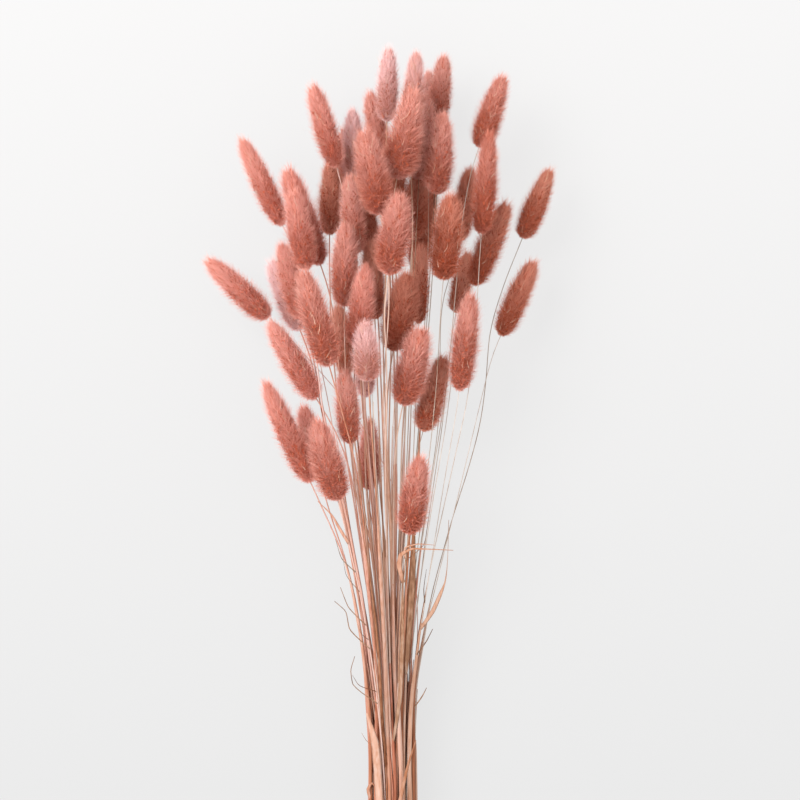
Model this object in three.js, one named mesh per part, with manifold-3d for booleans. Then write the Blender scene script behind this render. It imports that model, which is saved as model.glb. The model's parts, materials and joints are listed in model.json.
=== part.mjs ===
// A bunch of bunny tail grass (Lagurus ovatus), cut, dried and dyed, lying on a surface.
// Millimetres. X runs across the bunch, Y from the cut ends to the heads, Z up from the surface.
import * as THREE from 'three';
import { mergeVertices } from 'three/addons/utils/BufferGeometryUtils.js';
import Module from 'manifold-3d';

const wasm = await Module();
wasm.setup();

// ---------------------------------------------------------------- driving sizes
const GAP = 0.35;            // air between two pieces
const TIE_Y = 60;            // middle of the tie, above the cut ends
const NECK_Z = 12.4;         // height of the bunch's middle at the tie
const HEADS_Y = 400;         // where the heads are thickest
const HEADS_Z = 40;          // height of the bunch's middle there
const HALF_DEPTH = 35;       // from the middle to the top or under side there
const HALF_WIDTH = 105;      // from the middle to the outermost head tip

// Each seed head: x and y of its longest hairs' tips, base x, base y, width, its layer, from -1 on
// the bunch's under side to 1 on its top side, and its dye.
const HEADS = [
  // left side
  [-95, 394, -62, 363, 17, -0.3, 'salmon'],
  [-77, 455, -55, 409, 15, -0.1, 'salmon'],
  [-41, 482, -28, 438, 15.5, -0.3, 'salmon'],
  [-65, 333, -41, 280, 16.5, 0.3, 'salmon'],
  [-46, 321, -36, 280, 16, -0.7, 'salmon'],
  [-38, 314, -27, 272, 20, 0.8, 'pink'],
  [-63, 363, -38, 322, 17, 0, 'salmon'],
  [-54, 440, -36, 389, 17.5, 0.35, 'salmon'],
  [-50, 427, -43, 386, 16, 0.8, 'salmon'],
  [-45, 388, -31, 338, 20, 0.85, 'pink'],
  [-57, 403, -45, 362, 16, -0.6, 'salmon'],
  [-63, 395, -47, 357, 16, -0.9, 'pale'],
  // top
  [-31, 446, -32, 405, 14.5, -0.5, 'deep'],
  [-20.5, 471, -19.5, 433, 13.5, -0.75, 'pale'],
  [-25, 462, -21, 420, 14, -0.95, 'pink'],
  [-12, 479, -4, 436, 15, -0.35, 'pink'],
  [-2, 500, -3, 461, 14, 0.05, 'pale'],
  [12, 497, 9, 459, 13, 0.1, 'pale'],
  [18, 490, 18, 457, 12.5, -0.8, 'pink'],
  [26, 497, 22, 460, 13, -0.25, 'pink'],
  // middle
  [11, 478, 2, 431, 20.5, 0.6, 'pink'],
  [15, 477, 13, 432, 17, -0.05, 'pink'],
  [25, 467, 22, 424, 17, 0.3, 'pink'],
  [-15, 457, -6, 413, 20, 0.8, 'pink'],
  [-19, 437, -11, 396, 17, -0.65, 'deep'],
  [4, 425, -2, 383, 20, 1, 'pink'],
  [19, 439, 12, 387, 18, -0.75, 'deep'],
  [29, 426, 25, 381, 20.5, 0.95, 'deep'],
  [-1, 452, 1, 408, 18, 0.15, 'deep'],
  [14, 446, 10, 402, 16, -0.35, 'deep'],
  [-22, 436, -19, 394, 14, 0.05, 'pink'],
  [-11, 404, -9, 362, 16, -0.1, 'deep'],
  [14, 402, 13, 360, 12, -0.25, 'deep'],
  // right side
  [40, 442, 33, 402, 15, -0.95, 'deep'],
  [48.5, 457, 44, 404, 16, 0.5, 'pink'],
  [56, 486, 43, 448, 16, -0.1, 'pink'],
  [80, 440, 65, 403, 15, -0.4, 'deep'],
  [72, 394, 54, 354, 15.5, -0.3, 'deep'],
  [58, 423, 40, 379, 17, 0.15, 'deep'],
  [38.5, 399, 32, 366, 13, -0.85, 'deep'],
  [39, 377, 33, 326, 17, 0.75, 'pink'],
  [26, 346, 15, 306, 17, 0.55, 'deep'],
  // low middle
  [15, 360, 5, 319, 21, 0.95, 'pink'],
  [8, 388, 0, 346, 21, 0.6, 'deep'],
  [-14, 362, -12, 331, 16.5, 0.9, 'pale'],
  [-13, 390, -18, 348, 15.5, 0.5, 'salmon'],
  [-23.5, 412, -24, 368, 17, 0.4, 'pink'],
  [-28, 372, -23, 334, 14, -0.2, 'deep'],
  [-24, 339, -21, 300, 15, 0.75, 'pink'],
  [-14, 357, -14, 323, 13, -0.4, 'pale'],
  [-12, 314, -12, 276, 15, -0.55, 'pink'],
  [14, 296, 8, 255, 18, 1.7, 'pink'],
];
const REST_LAYER = -0.85;    // heads of this layer and lower rest on the surface
const REST_SINK = 1.9;       // hair that such a head flattens there
const TUFT_ROWS = 8;         // rows of tufts from a head's base to its tip
const TUFT_PITCH = 0.9 / TUFT_ROWS;
const FIRST_ROW = 0.02;      // place of the first row, as a share of the head's length
const VALLEY = 0.78;         // width between the tufts, as a share of the head's
const SEAT = 0.09;           // depth of the stem's seat in a head, as a share of its length
const SCATTER = 0.2;         // how unevenly the tufts are placed
const WIDE_HEAD = 7;         // radius above which a head has two more tufts in a row
const WIDEST = 0.3;          // place of a head's greatest width, as a share of its length
const BLUNTNESS = 0.02;      // how far past its tip a head would close
const SOLID_SHARE = 0.96;    // share of a head's length below the ends of its longest hairs
const HEAD_ROUNDS = 200;     // rounds in which the heads settle

// Stems of each column across the tie, from left to right. Each column is one node.
const COLUMNS = [7, 9, 10, 10, 9, 7];
const STEM_SIDES = 4;
const CULM = 0.55;           // radius of a bare stem
const SHEATH = 1.25;         // radius of a stem in its leaf sheath
const SHEATH_LOW = 150;      // lowest and highest place where a sheath ends
const SHEATH_HIGH = 320;
const BARE_NECK = 30;        // least length of bare stem below a head
const PRESSED = 1.75;        // distance between the fused stems of a column at the tie
const SQUEEZE_REACH = 40;    // how far from the tie the stems are pressed together
const GATHER = 0.0028;       // how strongly the stems draw together above the tie
const GATHER_END = 320;      // where they begin to fan out
const FLARE = 4;             // how much further apart the stems are at their cut ends
const HANDLE = 0.3;          // how far a head's direction carries down its stem
const SMOOTHING = 0.25;      // share of the way to the smoothest path in one round
const STEM_ROUNDS = 400;     // rounds in which the stems settle
const LAST_ROUNDS = 40;      // rounds at the end in which they are only kept apart
const STATION = 10;          // step along Y at which the stems are laid out
const BEND_TOLERANCE = 0.45; // bends smaller than this aren't built

// Leaf blades: their points in plan from the root on a stem to the tip, and their width.
const LEAVES = [
  { width: 1.8, plan: [[-23, 253], [-30, 265], [-37, 271]] },
  { width: 2.4, plan: [[3, 233], [3, 243], [9, 248], [29, 248]] },
  { width: 2.8, plan: [[17, 209], [22, 220], [27, 231], [28, 262]] },
  { width: 1.2, plan: [[-18, 210], [-22, 219], [-26, 229]] },
  { width: 1.2, plan: [[-17, 194], [-22, 206], [-23, 216], [-29, 222]] },
  { width: 1.2, plan: [[14, 194], [17, 201], [20, 207]] },
  { width: 1.4, plan: [[12, 166], [15, 173], [18, 179]] },
  { width: 3.2, plan: [[3, 124], [7, 138], [14, 151]] },
  { width: 3.4, plan: [[-4, 118], [-8, 140], [-12, 164]] },
];
const BLADE_THICKNESS = 0.75;

const TWINE = 1.9;           // diameter of the tie's twine
const TURNS = 4;
const TIE_SEGMENTS = 24;
const KNOT = { height: 2.2, angle: 1.2, width: 0.3, length: 3 };

// ---------------------------------------------------------------- small helpers
const { lerp, clamp } = THREE.MathUtils;
const UP = new THREE.Vector3(0, 0, 1);
const ORIGIN = new THREE.Vector2();

// A repeatable stream of numbers between 0 and 1 (mulberry32).
function seeded(seed) {
  let state = seed;
  return () => {
    state = (state + 0x6d2b79f5) | 0;
    let mixed = Math.imul(state ^ (state >>> 15), 1 | state);
    mixed = (mixed + Math.imul(mixed ^ (mixed >>> 7), 61 | mixed)) ^ mixed;
    return ((mixed ^ (mixed >>> 14)) >>> 0) / 4294967296;
  };
}

function toSolid(vertProperties, triVerts) {
  return new wasm.Manifold(new wasm.Mesh({ numProp: 3, vertProperties, triVerts }));
}

function toGeometry(solid) {
  const mesh = solid.getMesh();
  const geometry = new THREE.BufferGeometry();
  geometry.setAttribute('position', new THREE.BufferAttribute(mesh.vertProperties, 3));
  geometry.setIndex(new THREE.BufferAttribute(mesh.triVerts, 1));
  geometry.computeVertexNormals();
  return geometry;
}

// Two directions square to a tangent: one as far up as it can be, and one to its right.
function frameOn(tangent) {
  const along = tangent.clone().normalize();
  const u = UP.clone().addScaledVector(along, -along.z).normalize();
  return { u, v: along.clone().cross(u) };
}

// A ring of points round a centre, one for each radius, starting at the top.
function ring(centre, { u, v }, radii) {
  return radii.map((radius, j) => {
    const angle = (2 * Math.PI * j) / radii.length;
    return centre.clone()
      .addScaledVector(u, radius * Math.cos(angle))
      .addScaledVector(v, radius * Math.sin(angle));
  });
}

// A skin over rings of points, closed by a fan to one point at each end. Its diagonals join the
// points whose ring and place add up to an odd number, so that the others can stand out as points.
function loft(rings, start, end) {
  const sides = rings[0].length;
  const points = [...rings.flat(), start, end];
  const faces = [];
  const at = (i, j) => i * sides + (j % sides);
  for (let i = 0; i + 1 < rings.length; i++) {
    for (let j = 0; j < sides; j++) {
      const [a, b, c, d] = [at(i, j), at(i, j + 1), at(i + 1, j + 1), at(i + 1, j)];
      if ((i + j) % 2) faces.push([a, b, c], [a, c, d]);
      else faces.push([a, b, d], [b, c, d]);
    }
  }
  const last = rings.length - 1;
  for (let j = 0; j < sides; j++) {
    faces.push([at(0, j + 1), at(0, j), points.length - 2]);
    faces.push([at(last, j), at(last, j + 1), points.length - 1]);
  }
  const vertices = new Float32Array(points.flatMap((point) => point.toArray()));
  return toSolid(vertices, new Uint32Array(faces.flat()));
}

// ---------------------------------------------------------------- where the heads lie
function middleZ(y) {
  return lerp(NECK_Z, HEADS_Z, (y - TIE_Y) / (HEADS_Y - TIE_Y));
}

// How much of its full width a head has at t, from 0 at its base to 1 at its blunt tip.
function fullness(t) {
  const place = clamp(t, 0, 1);
  if (place < WIDEST) return Math.sin(Math.PI * (0.08 + 0.92 * place) ** 0.7) ** 0.6;
  return Math.sqrt(1 - ((place - WIDEST) / (1 + BLUNTNESS - WIDEST)) ** 2);
}

// A head's place in plan is its row's. Its height follows its layer, and it points away from the tie.
function placeHead([endX, endY, baseX, baseY, width, layer, dye], index) {
  const tipX = lerp(baseX, endX, SOLID_SHARE);
  const tipY = lerp(baseY, endY, SOLID_SHARE);
  const middle = new THREE.Vector3((tipX + baseX) / 2, (tipY + baseY) / 2, 0);
  const spread = (middle.y - TIE_Y) / (HEADS_Y - TIE_Y);
  const roundness = Math.sqrt(1 - (middle.x / HALF_WIDTH) ** 2);
  middle.z = middleZ(middle.y) + layer * HALF_DEPTH * Math.min(spread, 1) * roundness;
  const rise = ((middle.z - NECK_Z) / (middle.y - TIE_Y)) * (tipY - baseY);
  const axis = new THREE.Vector3(tipX - baseX, tipY - baseY, rise);
  return { index, middle, axis, radius: width / 2, layer, dye, rests: layer <= REST_LAYER };
}

function pointOn(head, t) {
  return head.middle.clone().addScaledVector(head.axis, t - 0.5);
}

// Balls along a head and the first of its stem, for keeping the heads apart.
function beadsOf(head) {
  const places = [-0.45, -0.3, -0.15, 0, 0.12, 0.25, 0.4, 0.55, 0.7, 0.85, 1];
  return places.map((t) => {
    const radius = t < 0 ? CULM + 2 * GAP : Math.max(fullness(t) * head.radius, 1);
    return { offset: head.axis.clone().multiplyScalar(t - 0.5), radius };
  });
}

// How far the upper head must still rise to clear the lower one.
function lackingRise(upper, lower) {
  let lack = 0;
  for (const a of upper.beads) {
    for (const b of lower.beads) {
      const across = upper.middle.x + a.offset.x - lower.middle.x - b.offset.x;
      const along = upper.middle.y + a.offset.y - lower.middle.y - b.offset.y;
      const reach = a.radius + b.radius + 2 * GAP;
      const room = reach * reach - across * across - along * along;
      if (room <= 0) continue;
      const rise = upper.middle.z + a.offset.z - lower.middle.z - b.offset.z;
      lack = Math.max(lack, Math.sqrt(room) - rise);
    }
  }
  return lack;
}

function lowestZ(head) {
  return Math.min(...head.beads.map((bead) => head.middle.z + bead.offset.z - bead.radius));
}

// Heads that cross in plan are moved apart in height, in the order of their layers.
function settleHeads() {
  const heads = HEADS.map(placeHead);
  heads.forEach((head) => { head.beads = beadsOf(head); });
  const byLayer = [...heads].sort((a, b) => a.layer - b.layer || a.index - b.index);
  for (let round = 0; round < HEAD_ROUNDS; round++) {
    byLayer.forEach((upper, rank) => {
      for (const lower of byLayer.slice(0, rank)) {
        const lack = lackingRise(upper, lower);
        upper.middle.z += 0.5 * lack;
        lower.middle.z -= 0.5 * lack;
      }
    });
    for (const head of heads) {
      const above = lowestZ(head) - (head.rests ? -REST_SINK : GAP);
      head.middle.z -= head.rests ? above : Math.min(above, 0);
    }
  }
  return heads;
}

// ---------------------------------------------------------------- seed heads
// A head is a spindle core whose skin stands out in staggered tufts that lean towards the tip.
function seedHead(head) {
  const random = seeded(100 + head.index);
  const { u, v } = frameOn(head.axis);
  const sides = head.radius > WIDE_HEAD ? 12 : 10;
  const rings = [];
  for (let i = 0; i < TUFT_ROWS; i++) {
    const points = [];
    for (let j = 0; j < sides; j++) {
      const tuft = (i + j) % 2 === 0;
      const lean = tuft ? (i ? 1 : 0.3) + SCATTER * random() : 0;
      const t = Math.min(FIRST_ROW + (i + lean) * TUFT_PITCH, 1 - FIRST_ROW);
      const reach = tuft ? 1 - 0.3 * SCATTER * random() : VALLEY;
      const turn = (2 * Math.PI * (j + SCATTER * (random() - 0.5))) / sides;
      const radius = fullness(t) * head.radius * reach;
      points.push(pointOn(head, t)
        .addScaledVector(u, radius * Math.cos(turn))
        .addScaledVector(v, radius * Math.sin(turn)));
    }
    rings.push(points);
  }
  const solid = loft(rings, pointOn(head, SEAT), pointOn(head, 1));
  return head.rests ? solid.trimByPlane([0, 0, 1], 0) : solid;
}

// ---------------------------------------------------------------- where the stems run
const TIE_STATION = TIE_Y / STATION;
const TIE_PITCH = 2 * SHEATH + GAP;    // between two columns at the tie

// The columns at the tie follow the stems' lean across the bunch, and the places in a column
// follow their lean in height, so that the stems fan out without crossing.
function placeStems(heads) {
  const leanOf = (head, axis, middle) => (
    (pointOn(head, 0)[axis] - middle) / (pointOn(head, 0).y - TIE_Y));
  const fromLeft = [...heads].sort((a, b) => leanOf(a, 'x', 0) - leanOf(b, 'x', 0));
  return COLUMNS.flatMap((count, column) => {
    const members = fromLeft.splice(0, count);
    members.sort((a, b) => leanOf(a, 'z', NECK_Z) - leanOf(b, 'z', NECK_Z));
    const x = TIE_PITCH * (column - (COLUMNS.length - 1) / 2);
    return members.map((head, place) => {
      const z = NECK_Z + PRESSED * (place - (count - 1) / 2);
      return makeStem(head, column, new THREE.Vector2(x, z));
    });
  });
}

// A stem's path holds its x and height at each station, from the cut end up to its head, and one
// more place inside the head that gives it the head's direction.
function makeStem(head, column, tie) {
  const base = pointOn(head, 0);
  const slope = new THREE.Vector2(head.axis.x, head.axis.z).divideScalar(head.axis.y);
  const top = Math.floor((base.y - 4) / STATION);
  const onAxis = (k) => new THREE.Vector2(base.x, base.z)
    .addScaledVector(slope, k * STATION - base.y);
  const end = onAxis(top);
  const length = (top - TIE_STATION) * STATION;
  const outward = tie.clone().sub(new THREE.Vector2(0, NECK_Z));
  const path = [];
  for (let k = 0; k <= top + 1; k++) {
    const s = (k - TIE_STATION) / (top - TIE_STATION);
    if (k >= top) path.push(onAxis(k));
    else if (s <= 0) path.push(tie.clone().addScaledVector(outward, -FLARE * s));
    else {
      path.push(tie.clone().lerp(end, s * s * (3 - 2 * s))
        .addScaledVector(slope, HANDLE * length * s * s * (s - 1)));
    }
  }
  const random = seeded(300 + head.index);
  const mouth = lerp(SHEATH_LOW, Math.min(base.y - BARE_NECK, SHEATH_HIGH), random());
  return { head, column, tie, top, path, mouth };
}

function radiusAt(stem, k) {
  return k * STATION > stem.mouth ? CULM : SHEATH;
}

// One step towards the smoothest path through the fixed places at the tie and the head.
function straighten({ path, top }) {
  for (let k = 0; k < top; k++) {
    if (k === TIE_STATION) continue;
    const smooth = new THREE.Vector2();
    if (k === 0) smooth.addScaledVector(path[1], 2).sub(path[2]);
    else if (k === 1) smooth.add(path[0]).add(path[2]).multiplyScalar(0.5);
    else {
      smooth.add(path[k - 1]).add(path[k + 1]).multiplyScalar(4);
      smooth.sub(path[k - 2]).sub(path[k + 2]).divideScalar(6);
    }
    path[k].lerp(smooth, SMOOTHING);
    const drawn = k > TIE_STATION ? GATHER * Math.max(1 - (k * STATION) / GATHER_END, 0) : 0;
    path[k].lerp(new THREE.Vector2(0, middleZ(k * STATION)), drawn);
  }
}

function push(a, b, wanted, aMoves, bMoves) {
  const away = a.clone().sub(b);
  const lack = wanted - away.length();
  if (lack <= 0 || aMoves + bMoves === 0) return;
  away.normalize().multiplyScalar(lack / (aMoves + bMoves));
  a.addScaledVector(away, aMoves);
  b.addScaledVector(away, -bMoves);
}

// Distance that two stems keep at a station. Near the tie those of a column are pressed together.
function spacing(a, b, k) {
  const clear = radiusAt(a, k) + radiusAt(b, k) + 2 * GAP;
  if (a.column !== b.column) return k === TIE_STATION ? 0 : clear;
  return lerp(PRESSED, clear, Math.min(Math.abs(k * STATION - TIE_Y) / SQUEEZE_REACH, 1));
}

// Where each head crosses each station, as circles.
function crossings(heads, k) {
  return heads.flatMap((head) => {
    const t = 0.5 + (k * STATION - head.middle.y) / head.axis.y;
    const step = (0.5 * STATION) / head.axis.y;
    if (t < -step || t > 1 + step) return [];
    const widest = Math.max(fullness(t - step), fullness(t), fullness(t + step));
    const slant = head.axis.length() / head.axis.y;
    const place = pointOn(head, t);
    const centre = new THREE.Vector2(place.x, place.z);
    return [{ head, centre, radius: widest * head.radius * slant }];
  });
}

function separate(stems, circles, k) {
  const here = stems.filter((stem) => k <= stem.top);
  const moves = (stem) => (k === stem.top || k === TIE_STATION ? 0 : 1);
  here.forEach((a, i) => {
    const at = a.path[k];
    for (const b of here.slice(i + 1)) push(at, b.path[k], spacing(a, b, k), moves(a), moves(b));
    for (const { head, centre, radius } of circles) {
      if (head !== a.head) push(at, centre, radius + radiusAt(a, k) + 2 * GAP, moves(a), 0);
    }
    if (moves(a)) at.y = Math.max(at.y, radiusAt(a, k) + GAP);
  });
}

// The stems are smoothed and pushed clear of each other and of the heads until both hold.
function settleStems(heads) {
  const stems = placeStems(heads);
  const stations = Math.max(...stems.map((stem) => stem.top)) + 1;
  const circles = Array.from({ length: stations }, (_, k) => crossings(heads, k));
  for (let round = 0; round < STEM_ROUNDS; round++) {
    if (round < STEM_ROUNDS - LAST_ROUNDS) stems.forEach(straighten);
    circles.forEach((around, k) => separate(stems, around, k));
  }
  return stems;
}

// ---------------------------------------------------------------- stems and leaves
function stemPoint(stem, y) {
  const k = clamp(Math.floor(y / STATION), 0, stem.top - 1);
  const at = stem.path[k].clone().lerp(stem.path[k + 1], y / STATION - k);
  return new THREE.Vector3(at.x, y, at.y);
}

// Stations that a stem's shape needs: where it bends and where its width changes.
function neededStations(stem) {
  const needed = [0];
  const changes = (k) => k === TIE_STATION
    || radiusAt(stem, k) !== radiusAt(stem, k - 1)
    || radiusAt(stem, k) !== radiusAt(stem, k + 1);
  const bends = (from, to) => {
    for (let k = from + 1; k < to; k++) {
      const chord = stem.path[from].clone().lerp(stem.path[to], (k - from) / (to - from));
      if (chord.distanceTo(stem.path[k]) > BEND_TOLERANCE) return true;
    }
    return false;
  };
  for (let k = 1; k < stem.top; k++) {
    if (changes(k) || bends(needed.at(-1), k + 1)) needed.push(k);
  }
  return [...needed, stem.top];
}

// Where a stem ends in its head's seat, just clear of the seat's walls.
function stemEnd(head) {
  const mouth = fullness(FIRST_ROW) * head.radius * VALLEY;
  const room = (CULM + 1.6 * GAP) / mouth;
  return pointOn(head, SEAT - (SEAT - FIRST_ROW) * room);
}

function stemSolid(stem) {
  const along = frameOn(new THREE.Vector3(0, 1, 0));
  const evenly = (radius) => Array(STEM_SIDES).fill(radius);
  const rings = neededStations(stem)
    .map((k) => ring(stemPoint(stem, k * STATION), along, evenly(radiusAt(stem, k))));
  const end = stemEnd(stem.head);
  rings.push(ring(end, frameOn(stem.head.axis), evenly(CULM)));
  return loft(rings, stemPoint(stem, 0), end);
}

// The highest point of the stems under a place in plan.
function crest(stems, x, y, reach) {
  const tops = stems.filter((stem) => y <= stem.top * STATION).map((stem) => {
    const radius = radiusAt(stem, Math.round(y / STATION));
    const centre = stemPoint(stem, y);
    return Math.abs(centre.x - x) < radius + reach ? centre.z + radius : -Infinity;
  });
  return Math.max(...tops);
}

// The topmost stem near a place in plan carries the leaf that grows there.
function carrier(stems, [x, y]) {
  const score = (stem) => {
    const centre = stemPoint(stem, y);
    return centre.z - 3 * Math.max(Math.abs(centre.x - x) - SHEATH, 0);
  };
  const tall = stems.filter((stem) => y < stem.top * STATION);
  return tall.reduce((best, stem) => (score(stem) > score(best) ? stem : best));
}

// A blade leaves its stem upwards, passes over the others and tapers to its tip.
function leafBlade(stems, stem, { width, plan }) {
  const root = stemPoint(stem, plan[0][1]);
  const inPlan = plan.map(([x, y], i) => (i ? new THREE.Vector3(x, y, root.z) : root));
  const steps = 2 * plan.length;
  const points = new THREE.CatmullRomCurve3(inPlan).getPoints(steps);
  const before = (i) => points[Math.max(i - 1, 0)];
  const after = (i) => points[Math.min(i + 1, steps)];
  for (let i = 1; i <= steps; i++) {
    const reach = width / 2 + GAP + Math.abs(after(i).x - before(i).x) / 2;
    const clear = crest(stems, points[i].x, points[i].y, reach) + BLADE_THICKNESS + GAP;
    points[i].z = Math.max(clear, points[i - 1].z + SHEATH / 2);
  }
  const rings = points.map((point, i) => {
    const taper = i ? 1 - 0.75 * (i / steps) ** 2 : 0.5;
    const [half, thick] = [(taper * width) / 2, BLADE_THICKNESS / 2];
    return ring(point, frameOn(after(i).clone().sub(before(i))), [thick, half, thick, half]);
  });
  return loft(rings, points[0], points[steps]);
}

function stemNodes(stems) {
  const solids = stems.map(stemSolid);
  const grown = LEAVES.map((leaf) => ({ leaf, stem: carrier(stems, leaf.plan[0]) }));
  return COLUMNS.map((_, column) => {
    const members = solids.filter((_solid, i) => stems[i].column === column);
    const blades = grown.filter(({ stem }) => stem.column === column)
      .map(({ leaf, stem }) => leafBlade(stems, stem, leaf));
    return [...members, ...blades].reduce((whole, piece) => whole.add(piece));
  });
}

// ---------------------------------------------------------------- tie
// The outermost reach of the stems from the bunch's middle near the tie.
function neckRadius(stems, y) {
  const reaches = stems.map((stem) => {
    const { x, z } = stemPoint(stem, y);
    return Math.hypot(x, z - NECK_Z) + SHEATH;
  });
  return Math.max(...reaches);
}

// Turns of twine side by side, drawn in as the stems are, with a flat knot on top.
function twineTie(stems) {
  const outer = [];
  const inner = [];
  for (let turn = 0; turn < TURNS; turn++) {
    const y = (turn - (TURNS - 1) / 2) * TWINE;
    const seat = neckRadius(stems, TIE_Y + y) + GAP;
    for (const angle of [-Math.PI / 3, 0, Math.PI / 3]) {
      const centre = new THREE.Vector2(seat + TWINE / 2, y);
      outer.push(new THREE.Vector2(TWINE / 2, 0).rotateAround(ORIGIN, angle).add(centre));
    }
    if (turn === 0 || turn === TURNS - 1) inner.unshift(new THREE.Vector2(seat, y));
  }
  const lathe = new THREE.LatheGeometry([...outer, ...inner, outer[0]], TIE_SEGMENTS);
  lathe.deleteAttribute('normal');
  lathe.deleteAttribute('uv');
  const band = mergeVertices(lathe, 1e-3);
  const position = band.getAttribute('position');
  for (let i = 0; i < position.count; i++) {
    const vertex = new THREE.Vector3().fromBufferAttribute(position, i);
    const radius = Math.hypot(vertex.x, vertex.z);
    const outside = radius > neckRadius(stems, TIE_Y) + GAP + 0.3 * TWINE ? 1 : 0;
    const turned = (Math.atan2(vertex.z, vertex.x) - KNOT.angle) / KNOT.width;
    const bump = KNOT.height * outside * Math.exp(-(turned ** 2) - (vertex.y / KNOT.length) ** 2);
    position.setXYZ(i, vertex.x * (1 + bump / radius), vertex.y, vertex.z * (1 + bump / radius));
  }
  band.translate(0, TIE_Y, NECK_Z);
  const solid = toSolid(new Float32Array(position.array), new Uint32Array(band.index.array));
  return solid.trimByPlane([0, 0, 1], 0);
}

// ---------------------------------------------------------------- the whole bunch
const DYES = { salmon: 0xd88a7a, pink: 0xbf7a6e, deep: 0x9e6154, pale: 0xdba399 };
const STEM_COLOURS = [0xb98468, 0xc98f7c];
const TWINE_COLOUR = 0xc2a27a;

function addMesh(group, name, solid, color, roughness) {
  const material = new THREE.MeshStandardMaterial({ color, roughness, metalness: 0 });
  const mesh = new THREE.Mesh(toGeometry(solid), material);
  mesh.name = name;
  group.add(mesh);
}

function numbered(word, index) {
  return `${word}_${String(index + 1).padStart(2, '0')}`;
}

const heads = settleHeads();
const stems = settleStems(heads);
const bunch = new THREE.Group();
heads.forEach((head, i) => {
  addMesh(bunch, numbered('head', i), seedHead(head), DYES[head.dye], 0.95);
});
stemNodes(stems).forEach((solid, i) => {
  addMesh(bunch, numbered('stems', i), solid, STEM_COLOURS[i % 2], 0.8);
});
addMesh(bunch, 'twine_tie', twineTie(stems), TWINE_COLOUR, 0.9);

// The origin is under the middle of the bunch, on the surface.
const box = new THREE.Box3().setFromObject(bunch);
const middle = box.getCenter(new THREE.Vector3());
bunch.position.set(-middle.x, -middle.y, -box.min.z);

export default bunch;
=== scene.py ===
import json
import math

import bpy
import numpy as np
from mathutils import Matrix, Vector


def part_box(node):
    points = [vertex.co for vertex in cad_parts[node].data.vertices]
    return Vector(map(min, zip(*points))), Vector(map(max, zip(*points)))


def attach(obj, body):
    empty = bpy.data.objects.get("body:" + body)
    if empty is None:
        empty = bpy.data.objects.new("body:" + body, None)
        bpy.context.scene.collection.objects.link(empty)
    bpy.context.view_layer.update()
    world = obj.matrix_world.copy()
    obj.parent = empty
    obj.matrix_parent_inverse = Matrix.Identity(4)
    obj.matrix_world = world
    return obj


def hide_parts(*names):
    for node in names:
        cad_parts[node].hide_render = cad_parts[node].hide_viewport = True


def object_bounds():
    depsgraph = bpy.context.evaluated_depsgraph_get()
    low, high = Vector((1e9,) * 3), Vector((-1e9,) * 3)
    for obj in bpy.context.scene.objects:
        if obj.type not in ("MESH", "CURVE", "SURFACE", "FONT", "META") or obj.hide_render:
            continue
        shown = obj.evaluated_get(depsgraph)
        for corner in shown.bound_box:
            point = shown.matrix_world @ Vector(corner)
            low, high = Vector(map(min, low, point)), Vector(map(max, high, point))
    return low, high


# A cut, dried and dyed bunch of bunny tail grass, lying on a pale surface and seen from above.
# Metres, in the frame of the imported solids: +Y from the cut ends to the heads, +Z up.
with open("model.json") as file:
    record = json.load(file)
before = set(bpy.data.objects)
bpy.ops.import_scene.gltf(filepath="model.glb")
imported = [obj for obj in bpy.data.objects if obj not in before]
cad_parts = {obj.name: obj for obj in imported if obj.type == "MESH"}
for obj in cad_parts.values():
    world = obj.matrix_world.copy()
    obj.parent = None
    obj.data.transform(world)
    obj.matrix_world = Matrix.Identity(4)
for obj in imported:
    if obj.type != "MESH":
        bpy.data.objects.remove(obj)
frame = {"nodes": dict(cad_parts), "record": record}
cad_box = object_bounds()

MM = 0.001
UP = np.array([0.0, 0.0, 1.0])
ALONG = np.array([0.0, 1.0, 0.0])
FLOOR_GAP = 0.15 * MM  # the lowest hair lies this far above the surface
TINTS = (0.02, 0.98)  # least and greatest tone and place that a point may have


# -------------------- small helpers
def unit(vectors):
    return vectors / np.linalg.norm(vectors, axis=-1, keepdims=True)


def frame_on(direction):
    """Two directions square to one direction: one as far up as it can be, and one to its right."""
    u = unit(UP - direction * (UP @ direction))
    return u, np.cross(direction, u)


def path_lengths(path):
    """How far each point of a path lies along it."""
    return np.concatenate([[0], np.cumsum(np.linalg.norm(np.diff(path, axis=0), axis=1))])


def smooth_through(knots, values, places):
    """A smooth curve through values at knots, read at places."""
    slopes = np.gradient(values, knots, axis=0)
    at = np.clip(np.searchsorted(knots, places) - 1, 0, len(knots) - 2)
    span = (knots[at + 1] - knots[at])[:, None]
    s = (places - knots[at])[:, None] / span
    low, high = values[at], values[at + 1]
    return (
        (1 + 2 * s) * (1 - s) ** 2 * low
        + s * (1 - s) ** 2 * span * slopes[at]
        + s * s * (3 - 2 * s) * high
        + s * s * (s - 1) * span * slopes[at + 1]
    )


def triangles(count):
    """Corner numbers of loose triangles."""
    return 3 * np.arange(count)[:, None] + np.arange(3)


def tube_faces(rows, sides):
    """Corner numbers of the quads between neighbouring rings of a tube."""
    i, j = np.meshgrid(np.arange(rows - 1), np.arange(sides), indexing="ij")
    a, b = (i * sides + j).ravel(), (i * sides + (j + 1) % sides).ravel()
    return np.stack([a, a + sides, b + sides, b], 1)


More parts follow.
